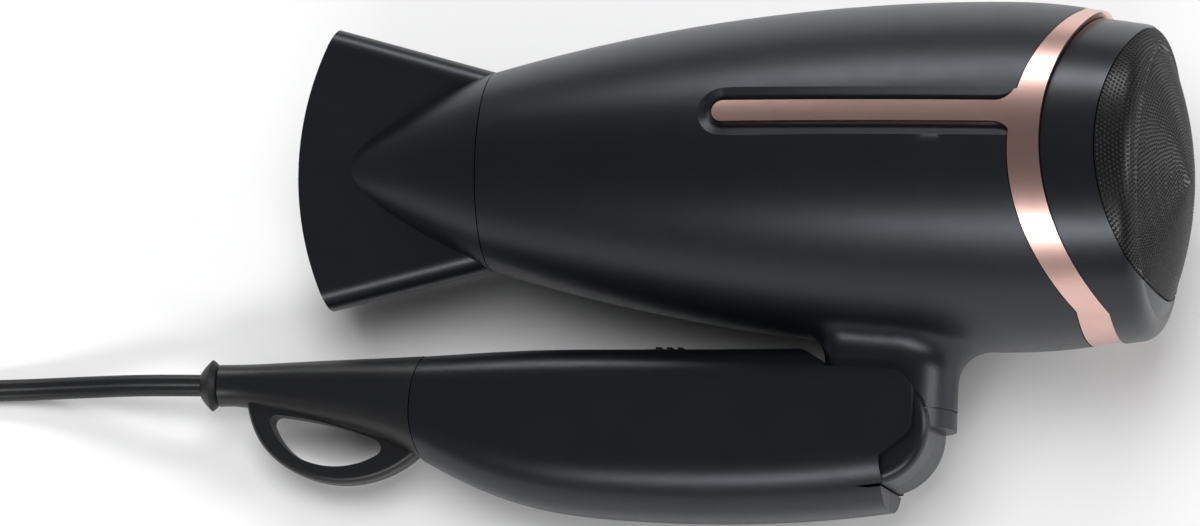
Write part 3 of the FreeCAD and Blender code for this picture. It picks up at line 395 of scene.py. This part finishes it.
def dome_ray(tree, tilt, turn):
    """Where the ray at `tilt` from the barrel's axis and `turn` round it leaves the dome."""
    way = direction(cos(tilt), sin(tilt) * cos(turn), sin(tilt) * sin(turn))
    hit, normal, _, _ = tree.ray_cast(place(*DOME_CENTRE), way)
    if hit is None:
        return None, None
    onward = tree.ray_cast(hit + way * 0.1 * MM, way)
    if onward[0] is not None:
        hit, normal = onward[0], onward[1]
    return hit, normal if normal.dot(way) > 0 else -normal


def meridian(tree, turn):
    """Stations from the dome's crown to its rim, as (distance, tilt)."""
    inside, outside = 0.0, WIDEST_TILT
    for _ in range(RIM_SEARCH_STEPS):
        middle = (inside + outside) / 2
        if dome_ray(tree, middle, turn)[0] is None:
            outside = middle
        else:
            inside = middle
    stations = [(0.0, 0.0)]
    last = dome_ray(tree, 0.0, turn)[0]
    for number in range(1, STATIONS + 1):
        tilt = inside * number / STATIONS
        point = dome_ray(tree, tilt, turn)[0]
        stations.append((stations[-1][0] + (point - last).length, tilt))
        last = point
    return stations


def tilt_at(stations, distance):
    """Tilt at a distance from the crown along one meridian."""
    for (before, low), (after, high) in zip(stations, stations[1:]):
        if distance <= after:
            return low + (high - low) * (distance - before) / max(after - before, 1e-9)
    return stations[-1][1]


def add_stud(mesh, point, normal):
    """Low six-sided stud that stands on the dome."""
    side = normal.cross(ACROSS if abs(normal.dot(ACROSS)) < 0.9 else UPWARD).normalized()
    other = normal.cross(side)
    rings = []
    for radius, height in ((STUD_RADIUS, -0.1 * MM), (STUD_RADIUS * 0.82, STUD_HEIGHT * 0.6)):
        rings.append([mesh.verts.new(point + normal * height + side * radius * cos(turn)
                                     + other * radius * sin(turn))
                      for turn in (2 * pi * step / STUD_SIDES for step in range(STUD_SIDES))])
    crown = mesh.verts.new(point + normal * STUD_HEIGHT)
    for step in range(STUD_SIDES):
        after = (step + 1) % STUD_SIDES
        mesh.faces.new((rings[0][step], rings[0][after], rings[1][after], rings[1][step]))
        mesh.faces.new((rings[1][step], rings[1][after], crown))


def add_intake_studs():
    """Staggered rows of small studs that run parallel to the dome's rim."""
    source = frame["nodes"]["intake_mesh"].data
    tree = BVHTree.FromPolygons([v.co for v in source.vertices], [p.vertices for p in source.polygons])
    meridians = [meridian(tree, 2 * pi * number / MERIDIANS) for number in range(MERIDIANS)]
    longest = max(stations[-1][0] for stations in meridians)
    rows = int((longest - RIM_MARGIN) / ROW_PITCH)
    mesh = bmesh.new()
    count = 0
    for row in range(rows):
        share = 1 - (RIM_MARGIN + row * ROW_PITCH) / longest
        ring = [dome_ray(tree, tilt_at(stations, stations[-1][0] * share), 2 * pi * n / MERIDIANS)[0]
                for n, stations in enumerate(meridians)]
        around = sum((a - b).length for a, b in zip(ring, ring[1:] + ring[:1]))
        if count == 0 or around / count < TIGHTEST_PITCH:
            count = max(int(around / STUD_PITCH), 1)
        for column in range(count):
            turn = 2 * pi * (column + 0.5 * (row % 2)) / count
            spot = turn / (2 * pi) * MERIDIANS
            before = meridians[int(spot) % MERIDIANS]
            after = meridians[(int(spot) + 1) % MERIDIANS]
            mix = spot - int(spot)
            tilt = (tilt_at(before, before[-1][0] * share) * (1 - mix)
                    + tilt_at(after, after[-1][0] * share) * mix)
            point, normal = dome_ray(tree, tilt, turn)
            if point is not None:
                add_stud(mesh, point, normal)
    bmesh.ops.recalc_face_normals(mesh, faces=mesh.faces)
    data = bpy.data.meshes.new("intake_studs")
    mesh.to_mesh(data)
    mesh.free()
    data.polygons.foreach_set("use_smooth", [True] * len(data.polygons))
    return new_piece("intake_studs", data, "head", "mesh_black")


add_intake_studs()


# ============================== floor and studio light ==========================
FLOOR_HALF = 4.0
AIM = (70, 0, -20)           # where every softbox looks, in the dryer's own axes


def add_floor():
    data = bpy.data.meshes.new("floor")
    mesh = bmesh.new()
    bmesh.ops.create_grid(mesh, x_segments=1, y_segments=1, size=FLOOR_HALF)
    mesh.to_mesh(data)
    mesh.free()
    floor = bpy.data.objects.new("floor", data)
    bpy.context.scene.collection.objects.link(floor)
    made = Recipe("pale floor").set(Roughness=0.75, Specular_IOR_Level=0.2)
    made.colour(made.spread(made.noise(0.2, 2.0), 0, 1), (0.83, 0.83, 0.835), (0.85, 0.85, 0.855))
    data.materials.append(made.material)


def add_softbox(name, way, distance, width, height, power, mirrored=True):
    """Area light that looks at the dryer from a direction, seen in reflections or not."""
    data = bpy.data.lights.new(name, "AREA")
    data.shape = "RECTANGLE"
    data.size = width
    data.size_y = height
    data.energy = power
    light = bpy.data.objects.new(name, data)
    bpy.context.scene.collection.objects.link(light)
    target = place(*AIM)
    way = Vector(way).normalized()
    light.location = target + way * distance
    light.rotation_mode = "QUATERNION"
    light.rotation_quaternion = way.to_track_quat("Z", "Y")
    light.visible_camera = False
    light.visible_glossy = mirrored


def add_world(strength):
    """Even dim light from all round."""
    world = bpy.data.worlds.new("studio")
    world.use_nodes = True
    background = world.node_tree.nodes["Background"]
    background.inputs["Color"].default_value = (1, 1, 1, 1)
    background.inputs["Strength"].default_value = strength
    bpy.context.scene.world = world


add_floor()
add_softbox("top softbox", direction(-0.05, -0.38, 1.0), 1.4, 1.3, 0.26, 10)
add_softbox("front softbox", direction(0.1, -0.78, -0.66), 1.5, 1.3, 0.28, 11)
add_softbox("end softbox", (1.0, 0.1, 0.45), 1.8, 0.7, 0.7, 9)
add_softbox("overhead fill", (-0.1, 0.1, 1.0), 2.2, 1.6, 1.6, 32, mirrored=False)
add_world(0.13)

bpy.context.scene.view_settings.view_transform = "Standard"
